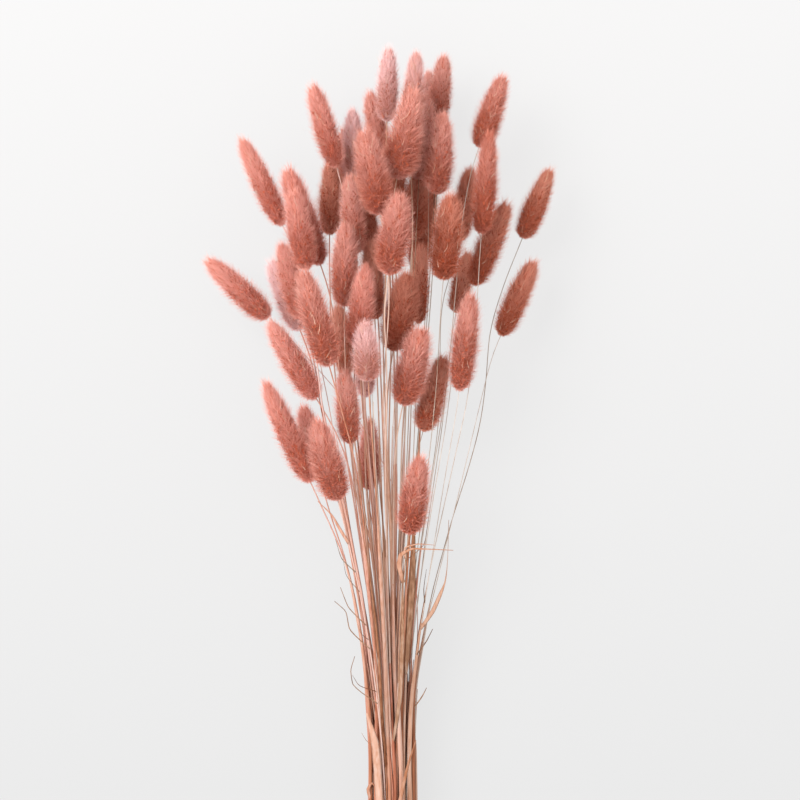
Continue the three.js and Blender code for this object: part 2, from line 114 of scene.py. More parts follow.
class Skin:
    """The points and faces of one piece. Each point has a tone, and a hue or a place."""

    def __init__(self):
        self.points, self.tints, self.corners, self.sizes = [], [], [], []
        self.count = 0

    def add(self, points, tints, *faces):
        for rows in faces:
            self.corners.append(rows.reshape(-1) + self.count)
            self.sizes.append(np.full(len(rows), rows.shape[1]))
        self.points.append(points)
        self.tints.append(tints)
        self.count += len(points)

    def build(self, name, tint_map):
        points, tints = np.concatenate(self.points), np.concatenate(self.tints)
        corners, sizes = np.concatenate(self.corners), np.concatenate(self.sizes)
        points[:, 2] = np.maximum(points[:, 2], FLOOR_GAP)
        mesh = bpy.data.meshes.new(name)
        mesh.vertices.add(len(points))
        mesh.vertices.foreach_set("co", points.ravel())
        mesh.loops.add(len(corners))
        mesh.loops.foreach_set("vertex_index", corners)
        mesh.polygons.add(len(sizes))
        mesh.polygons.foreach_set("loop_start", np.cumsum(sizes) - sizes)
        mesh.polygons.foreach_set("loop_total", sizes)
        mesh.update(calc_edges=True)
        uv = mesh.uv_layers.new(name=tint_map)
        uv.data.foreach_set("uv", tints[corners].ravel())
        mesh.polygons.foreach_set("use_smooth", np.ones(len(sizes), bool))
        piece = bpy.data.objects.new(name, mesh)
        bpy.context.scene.collection.objects.link(piece)
        return piece


def place(piece, material, slot, *nodes):
    """Finishes a piece, lets it ride on the bunch and hides the solids that it stands for."""
    piece.data.materials.append(material)
    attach(piece, "root")
    if nodes:
        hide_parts(*nodes)


# -------------------- reading the solids
WELD = 6  # corners that agree to this many decimals are one
ROUND = 0.15 * MM  # a stem's width and height differ by less than this
WIDEST_STEM = 1.6 * MM  # greatest radius of a stem's solid


def solid_of(node):
    """A solid's corners, each once, and its triangles as rows of three corner numbers."""
    mesh = frame["nodes"][node].data
    places = np.empty(3 * len(mesh.vertices))
    mesh.vertices.foreach_get("co", places)
    places = places.reshape(-1, 3)
    _, first, same = np.unique(
        np.round(places, WELD), axis=0, return_index=True, return_inverse=True
    )
    mesh.calc_loop_triangles()
    corners = np.empty(3 * len(mesh.loop_triangles), int)
    mesh.loop_triangles.foreach_get("vertices", corners)
    return places[first], same.reshape(-1)[corners.reshape(-1, 3)]


def loops_at(points, faces, y):
    """The loops in which the plane Y = y cuts a solid: rows of centre x, z and half size x, z."""
    beyond = points[faces][:, :, 1] > y
    parent, crossing = {}, {}

    def root(edge):
        while parent.setdefault(edge, edge) != edge:
            edge = parent[edge]
        return edge

    for face in faces[beyond.any(1) & ~beyond.all(1)]:
        cut = []
        for i, j in ((face[0], face[1]), (face[1], face[2]), (face[2], face[0])):
            edge = (min(i, j), max(i, j))
            a, b = points[edge[0]], points[edge[1]]
            if (a[1] > y) != (b[1] > y):
                crossing[edge] = a + (b - a) * (y - a[1]) / (b[1] - a[1])
                cut.append(edge)
        parent[root(cut[0])] = root(cut[1])
    loops = {}
    for edge, place_of_cut in crossing.items():
        loops.setdefault(root(edge), []).append(place_of_cut[[0, 2]])
    boxes = [(np.min(loop, 0), np.max(loop, 0)) for loop in loops.values()]
    rows = [[*(low + high) / 2, *(high - low) / 2] for low, high in boxes]
    return np.array(rows).reshape(-1, 4)


def single(loops):
    """The loops that are one stem's: as wide as they are high."""
    return loops[(np.abs(loops[:, 2] - loops[:, 3]) < ROUND) & (loops[:, 2] < WIDEST_STEM)]


# -------------------- seed heads
# A place on a head runs from 0 at its base to 1 at its blunt tip.
SEAT = 0.09  # place of a head solid's inner point
LOW_PART = 0.3  # share of the solid that has that point
FUR_PLACES = [0, 0.06, 0.12, 0.2, 0.3, 0.5, 0.7, 0.8, 0.9, 0.96, 1]
FUR_RADII = [0.2, 0.54, 0.69, 0.79, 0.81, 0.82, 0.71, 0.66, 0.56, 0.44, 0.3]  # of the solid's
TAPER = 0.12  # how much slimmer some heads get to their tips
TAPER_RATE = 900  # radians a metre, across the bunch
TAPER_PLACE = 0.4  # where it starts
CROWD = 30 * MM  # a head with many others this near is fluffier
FEW, MANY = 3, 7  # neighbours from which it is, and is most
FLUFF = 1.22  # how much wider its fur is then

TUFTS = 240  # tufts on a head
TUFT_HAIRS = 38  # hairs in a tuft
TUFT_JITTER = 0.2  # irregularity round the head, in radians
LOOSE = 5200  # hairs that stand out from a head's tufts
HAIR_LENGTH = 7.5 * MM
HAIR_LENGTHS = (0.7, 1.15)  # least and greatest, as shares of that
HAIR_WIDTH = 0.26 * MM
HAIR_WIDTHS = (0.7, 1.25)
LOOSE_WIDTH = 0.8  # of the loose hairs, as a share of the others'
TUFT_SPREAD = 0.9 * MM  # how far a tuft's hair tips lie from its middle
ROOT_SPREAD = 0.9 * MM  # and their roots
LOOSE_SPREAD = 2.0 * MM  # and the tips of the loose hairs
CORE = 0.6  # radius of a head's core, as a share of the fur's
DEEPEST_ROOT = 0.6  # radius of the deepest roots, as a share of the core's
ROOT_PLACES = (0.05, 0.95)  # first and last place of a root
BODY = 0.93  # how far the tufts reach, as a share of the fur's radius
BODY_DEPTH = 0.25  # how much shorter some of their hairs reach
TUFT_REACH = 0.03  # how much the tufts' reach varies
FRINGE = 1.45  # how far the loose hairs reach
LEAN = ([0, 0.12, 0.35, 1], [95, 66, 48, 20])  # from the head's direction, in degrees
LEAN_SPREAD = 0.2  # in radians
LOOSE_LEAN = 0.2
CLOSING, CLOSED = 0.94, 0.06  # where, and over what length, hairs close in
LEAST_TIP = 0.4 * MM  # least distance of a hair tip from the axis
LEAST_GIRTH = 1.5 * MM  # thinner parts spread hairs as this radius does
TIP_BACK, TIP_ON, LOOSE_TIP_ON = -0.05, 0.02, 0.10  # scatter of the hairs' ends at the tip

HEAD_TONE = 0.57
TUFT_TONES = 0.12  # how much the tufts' tones vary
PAINTED_SHADE_RIGHT = 0.15 / (80 * MM)  # painted shade: heads on the right are darker, as the light falls from the left
PAINTED_LIGHT_LOW = 0.12 / (40 * MM)  # painted light: lower heads are lighter and upper ones darker, making up for the shade that heads cast on those below
LIGHTER = (7, 12, 13, 19, 22, 32, 34, 40, 42, 48, 50)  # heads paler than their neighbours
DARKER = (18, 27, 29, 35, 36)  # and darker
UNEVEN = 0.24  # how much their tone differs
HAIR_TONES, CALMER, LOOSE_TONES = 0.15, 0.07, 0.10  # how much the hairs' vary
RIM_LIGHT, RIM_REACH = 0.7, 1.08  # a loose hair is paler the further out it reaches
# tone added along a head: darker on its lower body and paler near its tip, partly its own colour
# and partly painted light falling on the tips
TONES_ALONG = ([0, 0.12, 0.3, 0.6, 0.85, 1], [-0.05, -0.25, -0.33, 0.04, 0.27, 0.08])
SIDE_TONE = 0.01  # difference between a hair's two sides

# Places on the scale of a dye's colours, from a husk's to an awn's.
HUSK_PLACE, ROOT_PLACE, DYE_PLACE, TIP_PLACE, AWN_PLACE = 0.02, 0.14, 0.45, 0.85, 1.0
CURLS = 0.12  # up to this place the loose hairs are as pale as awns

FLECKS, PALE_FLECKS = 240, 90  # dark husks in a head's fur, and in a pale one's
FLECK_PLACES = (0.04, 0.86)  # first place, and how far they spread from it
FLECK_BIAS = (1.8, 2.6)  # they gather on the lower half
FLECK_DEPTHS = (0.8, 0.93)  # as shares of the fur's radius
FLECK_TURN = 0.6  # how much their directions vary
FLECK_WIDTH, FLECK_LENGTHS = 0.3, (0.5, 1.3)  # half of them, in millimetres
FLECK_TONES = (0.02, 0.2)

AWNS = 26  # long curling bristles of a head
AWN_PLACES = (0.03, 0.85)
AWN_DEPTH = 0.9  # where they leave the fur, as a share of its radius
AWN_LEANS = (0.2, 1.2)  # outward for each unit along the head
AWN_LENGTHS = (2.5, 7)  # in millimetres
AWN_CURLS = (0.1, 0.7)  # as shares of the length
AWN_WIDTH = 0.1  # half of it, in millimetres
AWN_TONES = (0.4, 0.98)
AWN_ROWS = 5


class Head:
    """A seed head's base, direction, length and radius, read from its solid."""

    def __init__(self, node):
        points, _ = solid_of(node)
        centre = points.mean(0)
        direction = np.linalg.svd(points - centre)[2][0]
        direction = direction * np.sign(direction[1])
        along = (points - centre) @ direction
        off = np.linalg.norm(points - centre - np.outer(along, direction), axis=1)
        tip = points[along.argmax()]
        low = along < along.min() + LOW_PART * np.ptp(along)
        seat = points[low][off[low].argmin()]
        self.node = node
        self.number = int(node[-2:])
        self.length = np.linalg.norm(tip - seat) / (1 - SEAT)
        self.direction = unit(tip - seat)
        self.base = tip - self.direction * self.length
        self.u, self.v = frame_on(self.direction)
        reach = (points - self.base) @ self.direction
        radii = np.linalg.norm(points - self.base - np.outer(reach, self.direction), axis=1)
        self.radius = radii.max()
        self.taper = TAPER * math.sin(self.base[0] * TAPER_RATE)
        self.middle = self.base + 0.5 * self.length * self.direction

    def crowd(self, heads):
        """Fluffs up a head that stands in a crowd."""
        near = sum(np.linalg.norm(self.middle - other.middle) < CROWD for other in heads) - 1
        self.radius *= np.interp(near, [FEW, MANY], [1, FLUFF])
        self.crowded = np.interp(near, [FEW, MANY], [0, 1])

    def outline(self, t):
        """The fur's radius at place t."""
        radius = self.radius * np.interp(t, FUR_PLACES, FUR_RADII)
        return radius * (1 - self.taper * (t - TAPER_PLACE))

    def outward(self, turn):
        return np.outer(np.cos(turn), self.u) + np.outer(np.sin(turn), self.v)

    def at(self, t, radius, turn):
        along = np.outer(t * self.length, self.direction)
        return self.base + along + radius[:, None] * self.outward(turn)


def tuft_places(head, random):
    """Tufts spread evenly over a head's skin: their places along it and round it."""
    t = np.linspace(0, 1, 400)
    radius = head.outline(t)
    steps = np.hypot(np.gradient(t * head.length), np.gradient(radius))
    area = np.cumsum(steps * (radius + TUFT_SPREAD))
    shares = (np.arange(TUFTS) + random.uniform(0, 1, TUFTS)) / TUFTS
    golden = math.pi * (3 - math.sqrt(5))
    turns = golden * np.arange(TUFTS) + random.normal(0, TUFT_JITTER, TUFTS)
    return np.interp(shares * area[-1], area, t), turns


def hair_strokes(head, random):
    """Root and tip of each hair, its way outward, its tone, its tip's place and its width."""
    tuft_t, tuft_turn = tuft_places(head, random)
    # painted shade on the right-hand and upper heads, painted light on the lower ones
    shade = PAINTED_SHADE_RIGHT * (head.base[0] - TIE_X) + PAINTED_LIGHT_LOW * (head.base[2] - FOCUS_Z)
    shade = shade + UNEVEN * ((head.number in DARKER) - (head.number in LIGHTER))
    tuft_tone = random.normal(HEAD_TONE - shade, TUFT_TONES, TUFTS)
    tuft_reach = random.normal(1, TUFT_REACH, TUFTS)
    in_tufts = np.repeat(np.arange(TUFTS), TUFT_HAIRS)
    tuft = np.concatenate([in_tufts, random.integers(0, TUFTS, LOOSE)])
    count = len(tuft)
    loose = np.arange(count) >= TUFTS * TUFT_HAIRS
    length = HAIR_LENGTH * random.uniform(*HAIR_LENGTHS, count)
    spread = np.where(loose, LOOSE_SPREAD, TUFT_SPREAD)

    t = tuft_t[tuft] + random.normal(0, spread) / head.length
    t = np.where(t < 0, -t, t)
    t = np.where(t > 1, 2 - t, t)
    lean = np.radians(np.interp(t, *LEAN))
    lean = lean + random.normal(0, LEAN_SPREAD, count) + np.where(loose, LOOSE_LEAN, 0)
    envelope = head.outline(t)
    body = BODY * tuft_reach[tuft] * (1 - BODY_DEPTH * random.random(count))
    reach = np.where(loose, random.uniform(BODY, FRINGE, count), body)
    inward = np.clip((t - CLOSING) / CLOSED, 0, 1) * random.random(count) ** 2
    tip_radius = np.maximum(envelope * reach, LEAST_TIP) * (1 - inward)
    t = t + random.uniform(TIP_BACK, np.where(loose, LOOSE_TIP_ON, TIP_ON)) * t**6
    turn = tuft_turn[tuft] + random.normal(0, spread) / np.maximum(envelope, LEAST_GIRTH)

    back = length * np.cos(lean) + random.normal(0, 0.5 * ROOT_SPREAD, count)
    root_t = np.clip(t - back / head.length, *ROOT_PLACES)
    core = CORE * head.outline(root_t)
    root_radius = np.clip(tip_radius - length * np.sin(lean), DEEPEST_ROOT * core, core)
    root_turn = random.normal(0, ROOT_SPREAD, count) / np.maximum(core, LEAST_GIRTH)
    root_turn = tuft_turn[tuft] + root_turn

    noise = np.where(loose, LOOSE_TONES, HAIR_TONES - CALMER * t)
    rim = np.where(loose, RIM_LIGHT * (reach - RIM_REACH), 0)
    tone = tuft_tone[tuft] + random.normal(0, noise) + rim
    # partly painted light: paler near the tip, darker on the lower body
    tone = np.clip(tone + np.interp(t, *TONES_ALONG), *TINTS)
    width = HAIR_WIDTH * random.uniform(*HAIR_WIDTHS, count) * np.where(loose, LOOSE_WIDTH, 1)
    dyed = TIP_PLACE + (AWN_PLACE - TIP_PLACE) * (loose & (t < CURLS)) * random.random(count)
    roots, tips = head.at(root_t, root_radius, root_turn), head.at(t, tip_radius, turn)
    return roots, tips, head.outward(turn), tone, dyed, width


def add_hairs(skin, head, random):
    """Straight tapering hairs, with their broad side more or less outward."""
    roots, tips, outward, tone, dyed, width = hair_strokes(head, random)
    count = len(roots)
    run = unit(tips - roots)
    side = unit(np.cross(run, outward))
    lift = np.cross(side, run)
    roll = random.uniform(-1, 1, count)[:, None]
    across = 0.5 * width[:, None] * (side * np.cos(roll) + lift * np.sin(roll))
    points = np.stack([roots - across, roots + across, tips], 1)
    tints = np.empty((count, 3, 2))
    tints[:, :, 0] = tone[:, None] + np.array([-SIDE_TONE, SIDE_TONE, 0])
    tints[:, :, 1] = ROOT_PLACE
    tints[:, 2, 1] = dyed
    skin.add(points.reshape(-1, 3), tints.reshape(-1, 2), triangles(count))


def add_flecks(skin, head, random):
    """Small dark husks that show between the hairs, mostly on a head's lower half."""
    count = PALE_FLECKS if slots[head.node] == "head_pale" else FLECKS
    t = FLECK_PLACES[0] + FLECK_PLACES[1] * random.beta(*FLECK_BIAS, count)
    turn = random.uniform(0, 2 * math.pi, count)
    radius = head.outline(t) * random.uniform(*FLECK_DEPTHS, count)
    middle = head.at(t, radius, turn)
    run = unit(head.direction + random.normal(0, FLECK_TURN, (count, 3)))
    side = unit(np.cross(run, head.outward(turn))) * FLECK_WIDTH * MM
    run = run * random.uniform(*FLECK_LENGTHS, count)[:, None] * MM
    points = np.stack([middle - run - side, middle - run + side, middle + run], 1)
    tone = random.uniform(*FLECK_TONES, count)
    tints = np.stack([tone, np.full(count, HUSK_PLACE)], 1)
    skin.add(points.reshape(-1, 3), np.repeat(tints, 3, axis=0), triangles(count))


def add_awns(skin, head, random):
    """Pale bristles that stand out of the fur and curl."""
    steps = np.linspace(0, 1, AWN_ROWS)
    for _ in range(AWNS):
        t, turn = random.uniform(*AWN_PLACES), random.uniform(0, 2 * math.pi)
        radius = head.outline(np.array([t])) * AWN_DEPTH
        start = head.at(np.array([t]), radius, np.array([turn]))[0]
        outward = math.cos(turn) * head.u + math.sin(turn) * head.v
        run = unit(random.uniform(*AWN_LEANS) * outward + head.direction)
        bend = unit(np.cross(run, random.normal(0, 1, 3)))
        length = random.uniform(*AWN_LENGTHS) * MM
        curl = random.uniform(*AWN_CURLS) * length
        path = start + np.outer(steps * length, run) + np.outer(np.sin(2 * steps) * curl, bend)
        side = unit(np.cross(run, outward)) * AWN_WIDTH * MM
        across = np.outer(1.1 - steps, side)
        points = np.stack([path - across, path + across], 1).reshape(-1, 3)
        tints = np.tile([random.uniform(*AWN_TONES), AWN_PLACE], (2 * AWN_ROWS, 1))
        k = 2 * np.arange(AWN_ROWS - 1)[:, None]
        skin.add(points, tints, k + np.array([0, 1, 3, 2]))


def add_core(skin, head, random):
    """The dark spindle that the hairs grow from."""
    rows, sides = 12, 14
    t = np.linspace(0.03, 0.95, rows)
    turns = 2 * math.pi * np.arange(sides) / sides
    radii = CORE * head.outline(t)
    radii[[0, -1]] *= 0.15
    bumps = random.uniform(0.9, 1.06, rows * sides)
    points = head.at(np.repeat(t, sides), np.repeat(radii, sides) * bumps, np.tile(turns, rows))
    tones = random.uniform(0.1, 0.5, rows * sides)
    tints = np.stack([tones, np.full(rows * sides, HUSK_PLACE)], 1)
    skin.add(points, tints, tube_faces(rows, sides))


def make_tail(head, index, materials):
    random = np.random.default_rng(1000 + index)
    skin = Skin()
    add_core(skin, head, random)
    add_hairs(skin, head, random)
    add_flecks(skin, head, random)
    add_awns(skin, head, random)
    slot, name = slots[head.node], head.node.replace("head", "tail")
    place(skin.build(name, "OFBake"), materials[slot], slot, head.node)


# -------------------- where the stems run
STATION = 10 * MM  # step at which the stems' solids are cut
CUT_ENDS = cad_box[0][1]  # Y of the stems' cut ends
TIE_Y = CUT_ENDS + 60 * MM
TIE_X = sum(end[0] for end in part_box("twine_tie")) / 2
TIE_CUT = 0.1 * MM  # how far beside the tie's middle they are cut
FUSED = 24 * MM  # the stems of a column are one solid this far from the tie
EDGE = 1.25 * MM  # from a column's end there to its last stem's middle
SHEATHED = 0.9 * MM  # a solid wider than this is a stem in its sheath
STEM_START = 0.02  # place on the head from where its stem is followed down
CLEAR_OF_HEAD = 2 * MM  # the first cut lies this far below it
NEXT_CUT = 2.2 * MM  # greatest distance from where a cut is expected


class Stem:
    """A stem's column, its centre line from the cut end to its head, and where its sheath ends."""

    def __init__(self, head, column, heights, centres, mouth):
        self.head, self.column, self.mouth = head, column, mouth
        self.heights, self.centres = heights, centres

    def at(self, y):
        y = np.atleast_1d(y)
        x_z = smooth_through(self.heights, self.centres, y)
        return np.stack([x_z[:, 0], y, x_z[:, 1]], 1)


def nearest_loop(names, slices, k, guess):
    """How near the nearest stem's loop is at station k, its solid's name and the loop."""
    best = None
    for name in names:
        loops = slices[name][k]
        if len(loops):
            gaps = np.linalg.norm(loops[:, :2] - guess, axis=1)
            if best is None or gaps.min() < best[0]:
                best = (gaps.min(), name, loops[gaps.argmin()])
    return best


def track(head, slices, stations):
    """Follows a stem down from its head, loop by loop, to just above the tie."""
    slope = head.direction[[0, 2]] / head.direction[1]
    start = head.base + STEM_START * head.length * head.direction
    top = start[1] - CLEAR_OF_HEAD
    below = [k for k, y in enumerate(stations) if TIE_Y + FUSED < y < top][::-1]
    place_at, last_y = start[[0, 2]], start[1]
    column, found = None, []
    for k in below:
        guess = place_at + slope * (stations[k] - last_y)
        best = nearest_loop([column] if column else list(slices), slices, k, guess)
        if best is None or best[0] > NEXT_CUT:
            continue
        column = column or best[1]
        slope = (best[2][:2] - place_at) / (stations[k] - last_y)
        place_at, last_y = best[2][:2], stations[k]
        found.append((last_y, *place_at, best[2][2]))
    return column, np.array(found[::-1])


def find_stems(heads, columns):
    """The centre lines of all the stems, from the loops in which planes cut their solids."""
    top = max(head.base[1] for head in heads)
    stations = np.arange(CUT_ENDS + STATION / 2, top, STATION)
    solids = {name: solid_of(name) for name in columns}
    slices = {
        name: [single(loops_at(*solid, y)) for y in stations] for name, solid in solids.items()
    }
    tracked = [(head, *track(head, slices, stations)) for head in heads]
    stems = []
    for name in columns:
        members = sorted((t for t in tracked if t[1] == name), key=lambda t: t[2][0][2])
        tie = loops_at(*solids[name], TIE_Y + TIE_CUT)
        bottom = (tie[:, 1] - tie[:, 3]).min() + EDGE
        rise = (tie[:, 1] + tie[:, 3]).max() - EDGE - bottom
        low = [k for k, y in enumerate(stations) if y < TIE_Y - FUSED]
        for rank, (head, _, found) in enumerate(members):
            rows = []
            for k in low:
                loops = slices[name][k]
                if len(loops) == len(members):
                    loop = loops[loops[:, 1].argsort()][rank]
                    rows.append((stations[k], *loop[:2]))
            share = rank / max(len(members) - 1, 1)
            rows.append((TIE_Y, tie[:, 0].mean(), bottom + rise * share))
            rows.extend(found[:, :3])
            end = head.base + SEAT * head.length * head.direction
            rows.append((end[1], end[0], end[2]))
            rows = np.array(rows)
            sheathed = found[found[:, 3] > SHEATHED]
            mouth = sheathed[-1][0] + STATION / 2 if len(sheathed) else TIE_Y + FUSED
            stems.append(Stem(head, name, rows[:, 0], rows[:, 1:], mouth))
    return stems


# -------------------- stems and leaves
# Tones run from 0, dark, to 1, pale, and hues from 0, grey or tan, to 1, peach.
STEP = 6 * MM  # length of a stem's pieces
HOLLOW = 0.8  # depth of the hollow in a cut end, in millimetres
HOLLOW_PAINTED_SHADE = 0.3  # painted shade in that hollow: its tone, as a share of the stem's
SIDE_REACH = 60 * MM  # distance to the left that counts as 1
MIDDLE = (-0.2, 0.85)  # the stems between are full and the others slim
INNER = (-0.2, 0.4)  # the stems between have tall strips beside them
SLIM = 0.55  # of the outermost stems' thickness beside the others'
SLIMMING = (170 * MM, 230 * MM)  # where they get that thin, from the cut ends

CULM = 0.36 * MM  # radius of a bare stem
CULM_ENDS = (1.2, 0.8)  # as shares of it, in the sheath and at the head
CULM_TONES = (0.45, 1)
CULM_HUE, CULM_PEACH = 0.3, 0.9  # in the middle, and how much more on the left
PAINTED_CROWD_SHADE = 0.6  # painted shade: how much darker stems are between crowded heads
PAINTED_SHADE_REACH = (50 * MM, 130 * MM)  # where that painted shade ends, from the head down

SHEATH_WIDTHS = (1.2, 2.0)  # half widths, in millimetres
SHEATH_DEPTHS = (0.8, 1.2)  # half thicknesses
PRESS, PRESS_REACH = 0.1, 18 * MM  # how much, and how far, the tie presses them thinner
MOUTH_LENGTH, MOUTH_CURVE = 26 * MM, 0.6  # of the taper towards a sheath's mouth
MOUTH = 1.15  # radius of the mouth, as a share of the bare stem's
SHEATH_TAPER = 0.25  # how much thinner a sheath gets above
JOINTS = (0.35, 0.75)  # share above where the second sheath starts
SWELLING, SWELLING_REACH, SWELLING_SHADE = 0.18, 3 * MM, 0.4  # of the stem there
SHEATH_TWIST = 0.5  # in radians
SHEATH_STREAKS, STREAK_RATES, STREAK_PHASES = 0.10, (3, 9), (0, 6)
SHEATH_TONES = (0.25, 0.75)
SHEATH_SHADES = ([0, 0.25, 0.35, 1], [0, 0, -0.15, 0.17])  # above, and tone added
SHEATH_PEACH, SHEATH_HUES, LEAST_HUE = 0.45, 0.22, 0.2  # more on the left, noise, least

STRIPS = 190  # loose dry leaves among the stems
STRIP_BOTTOMS = (0, 10)  # where they start from the cut ends, in millimetres
STRIP_LEAST, STRIP_TALL, STRIP_LOW = 130, 345, 200  # and where they end
STRIP_SHARES = (0.25, 0.75)  # where they lie between two stems
STRIP_WANDER = (0.2, 0.9)  # in millimetres
WANDER_RATES = (4, 14)
STRIP_WIDTHS = (0.6, 1.9)  # half widths, in millimetres
STRIP_DEPTH = 0.18 * MM  # half of it
STRIP_END, STRIP_CURVE = 1.02, 0.6  # of the taper towards the strip's upper end
STRIP_TWISTS = (0.5, 1.5)  # at its foot, and along it
STRIP_TONES = (0.15, 0.95)
STRIP_STREAKS, STRIP_RATES = 0.08, (5, 20)
STRIP_PALER, STRIP_PALER_FROM, STRIP_DARKEST = 0.3, 0.6, -0.1
STRIP_HUE, STRIP_HUES = 0.4, 0.25
MATCHING = 90 * MM  # a strip's two stems are near each other here
NEIGHBOURS = 6  # such stems to choose from

BLADE_STEP = 1.5 * MM  # length of a blade's pieces
BLADE_ROWS = 8  # and at least so many
BLADE_DEPTH = 0.12 * MM  # half of its thickness
BLADE_SIDES = 1.5 * MM  # it clears the stems this far beside it
BLADE_GAP, BLADE_RISE = 0.5 * MM, 0.25 * MM  # by this, and it rises so much a piece
BLADE_SMOOTHING = 5  # rows over which its height is evened
BLADE_SHADE = 0.15  # how much darker its tip is
NEARNESS = 3  # height that makes up for one unit of distance in plan

THREADS = 9  # thin curling shreds at the bunch's sides

# Leaves that stand out from the bunch, as places in plan from the tie's middle and the cut ends,
# with their width there, in millimetres.
LEAVES = [
    [(-22, 251, 1.6), (-26, 258, 1.5), (-30, 265, 0.9), (-37, 272, 0.3)],
    [(3, 231, 2.0), (3.2, 240, 2.6), (4, 245, 2.2), (9, 248, 1.2), (17, 248, 0.6),
     (30, 247.5, 0.3)],
    [(3.5, 243, 1.2), (6, 248.5, 0.9), (12, 250.5, 0.6), (21, 250, 0.2)],
    [(16, 207, 1.6), (20, 216, 2.2), (24, 225, 1.8), (26, 230, 0.8), (27, 236, 0.4),
     (28, 262, 0.25)],
    [(-18, 210, 0.5), (-22, 219, 0.45), (-26, 229, 0.3)],
    [(-19, 198, 0.55), (-21.5, 208, 0.5), (-23.5, 217, 0.4), (-29, 222, 0.3)],
    [(14, 194, 0.6), (17, 201, 0.5), (20, 207, 0.3)],
    [(12, 166, 0.6), (15, 173, 0.6), (17, 177, 0.3)],
    [(2, 108, 1.6), (4, 122, 2.0), (7.5, 138, 1.4), (11.5, 151, 0.4)],
    [(-4, 100, 3.0), (-7, 125, 4.0), (-9, 150, 4.0), (-13, 165, 1.2)],
    [(-15, 170, 0.5), (-20, 180, 0.4), (-21, 187, 0.4), (-19, 194, 0.3)],
    [(-13, 120, 1.6), (-12.5, 126, 1.8), (-10.5, 129, 1.0), (-8.5, 126, 0.4)],
]
BROAD = 1.0 * MM  # a leaf that is wider than this at its foot is broad
BROAD_TONES, THIN_TONES = (0.45, 0.8), (0.15, 0.4)
BROAD_HUE, BROAD_GREYER, THIN_HUE = 0.3, 8, 0.1  # greyer to the right, by the metre
LEAF_CURLS = (-0.6, 0.6)  # in radians
# Broad brown leaves that lie on the bunch.
BROWN_LEAVES = [
    [(6.5, 184, 1.6), (8, 204, 3.0), (9.5, 225, 3.4), (10.3, 241, 2.4), (11, 254, 0.6)],
    [(1.5, 150, 1.2), (3.5, 172, 2.2), (4.6, 196, 2.2), (5, 220, 1.2), (5.2, 236, 0.4)],
]
BROWN_TONES, BROWN_HUE, BROWN_CURLS = (0.35, 0.5), 0.12, (-0.4, 0.4)


def add_tube(skin, path, halves, turns, sides, tints, cut=False, toward=UP):
    """A tube along a path. Its section at each point is an ellipse with half sizes and a turn."""
    rows = len(path)
    run = unit(np.gradient(path, axis=0))
    u = unit(toward - run * (run @ toward)[:, None])
    v = np.cross(run, u)
    angles = 2 * math.pi * np.arange(sides) / sides
    x = halves[:, :1] * np.cos(angles)
    z = halves[:, 1:] * np.sin(angles)
    c, s = np.cos(turns)[:, None], np.sin(turns)[:, None]
    ring_x, ring_z = x * c - z * s, x * s + z * c
    points = path[:, None] + ring_x[:, :, None] * v[:, None] + ring_z[:, :, None] * u[:, None]
    grid = np.repeat(tints[:, None], sides, axis=1)
    ends = np.array([path[0], path[-1]])
    if cut:
        ends[0] = ends[0] + run[0] * HOLLOW * MM
    first, last = rows * sides, rows * sides + 1
    ring = np.arange(sides)
    after = (ring + 1) % sides
    top_ring = (rows - 1) * sides
    low = np.stack([np.full(sides, first), ring, after], 1)
    high = np.stack([np.full(sides, last), top_ring + after, top_ring + ring], 1)
    # the hollow of a cut end gets painted shade
    end_tints = np.array([tints[0] * [HOLLOW_PAINTED_SHADE, 1] if cut else tints[0], tints[-1]])
    skin.add(
        np.concatenate([points.reshape(-1, 3), ends]),
        np.concatenate([grid.reshape(-1, 2), end_tints]),
        tube_faces(rows, sides), np.concatenate([low, high]),
    )


def straw_tints(tone, hue, rows):
    """The tones and the hue of a strand, for each of its rows."""
    tones = np.clip(np.broadcast_to(tone, rows), *TINTS)
    return np.stack([tones, np.full(rows, np.clip(hue, *TINTS))], 1)


def add_culm(skin, stem, tone, hue):
    """The bare upper part of a stem."""
    end = stem.heights[-1]
    y = np.linspace(stem.mouth - 3 * STEP, end, int((end - stem.mouth) / STEP) + 5)
    radius = CULM * stem.slim * np.linspace(*CULM_ENDS, len(y))
    # painted shade on the stem below a crowded head
    tone = tone - PAINTED_CROWD_SHADE * stem.head.crowded * np.interp(end - y, PAINTED_SHADE_REACH, [1, 0])
    halves = np.stack([radius, radius], 1)
    add_tube(skin, stem.at(y), halves, np.zeros(len(y)), 6, straw_tints(tone, hue, len(y)))


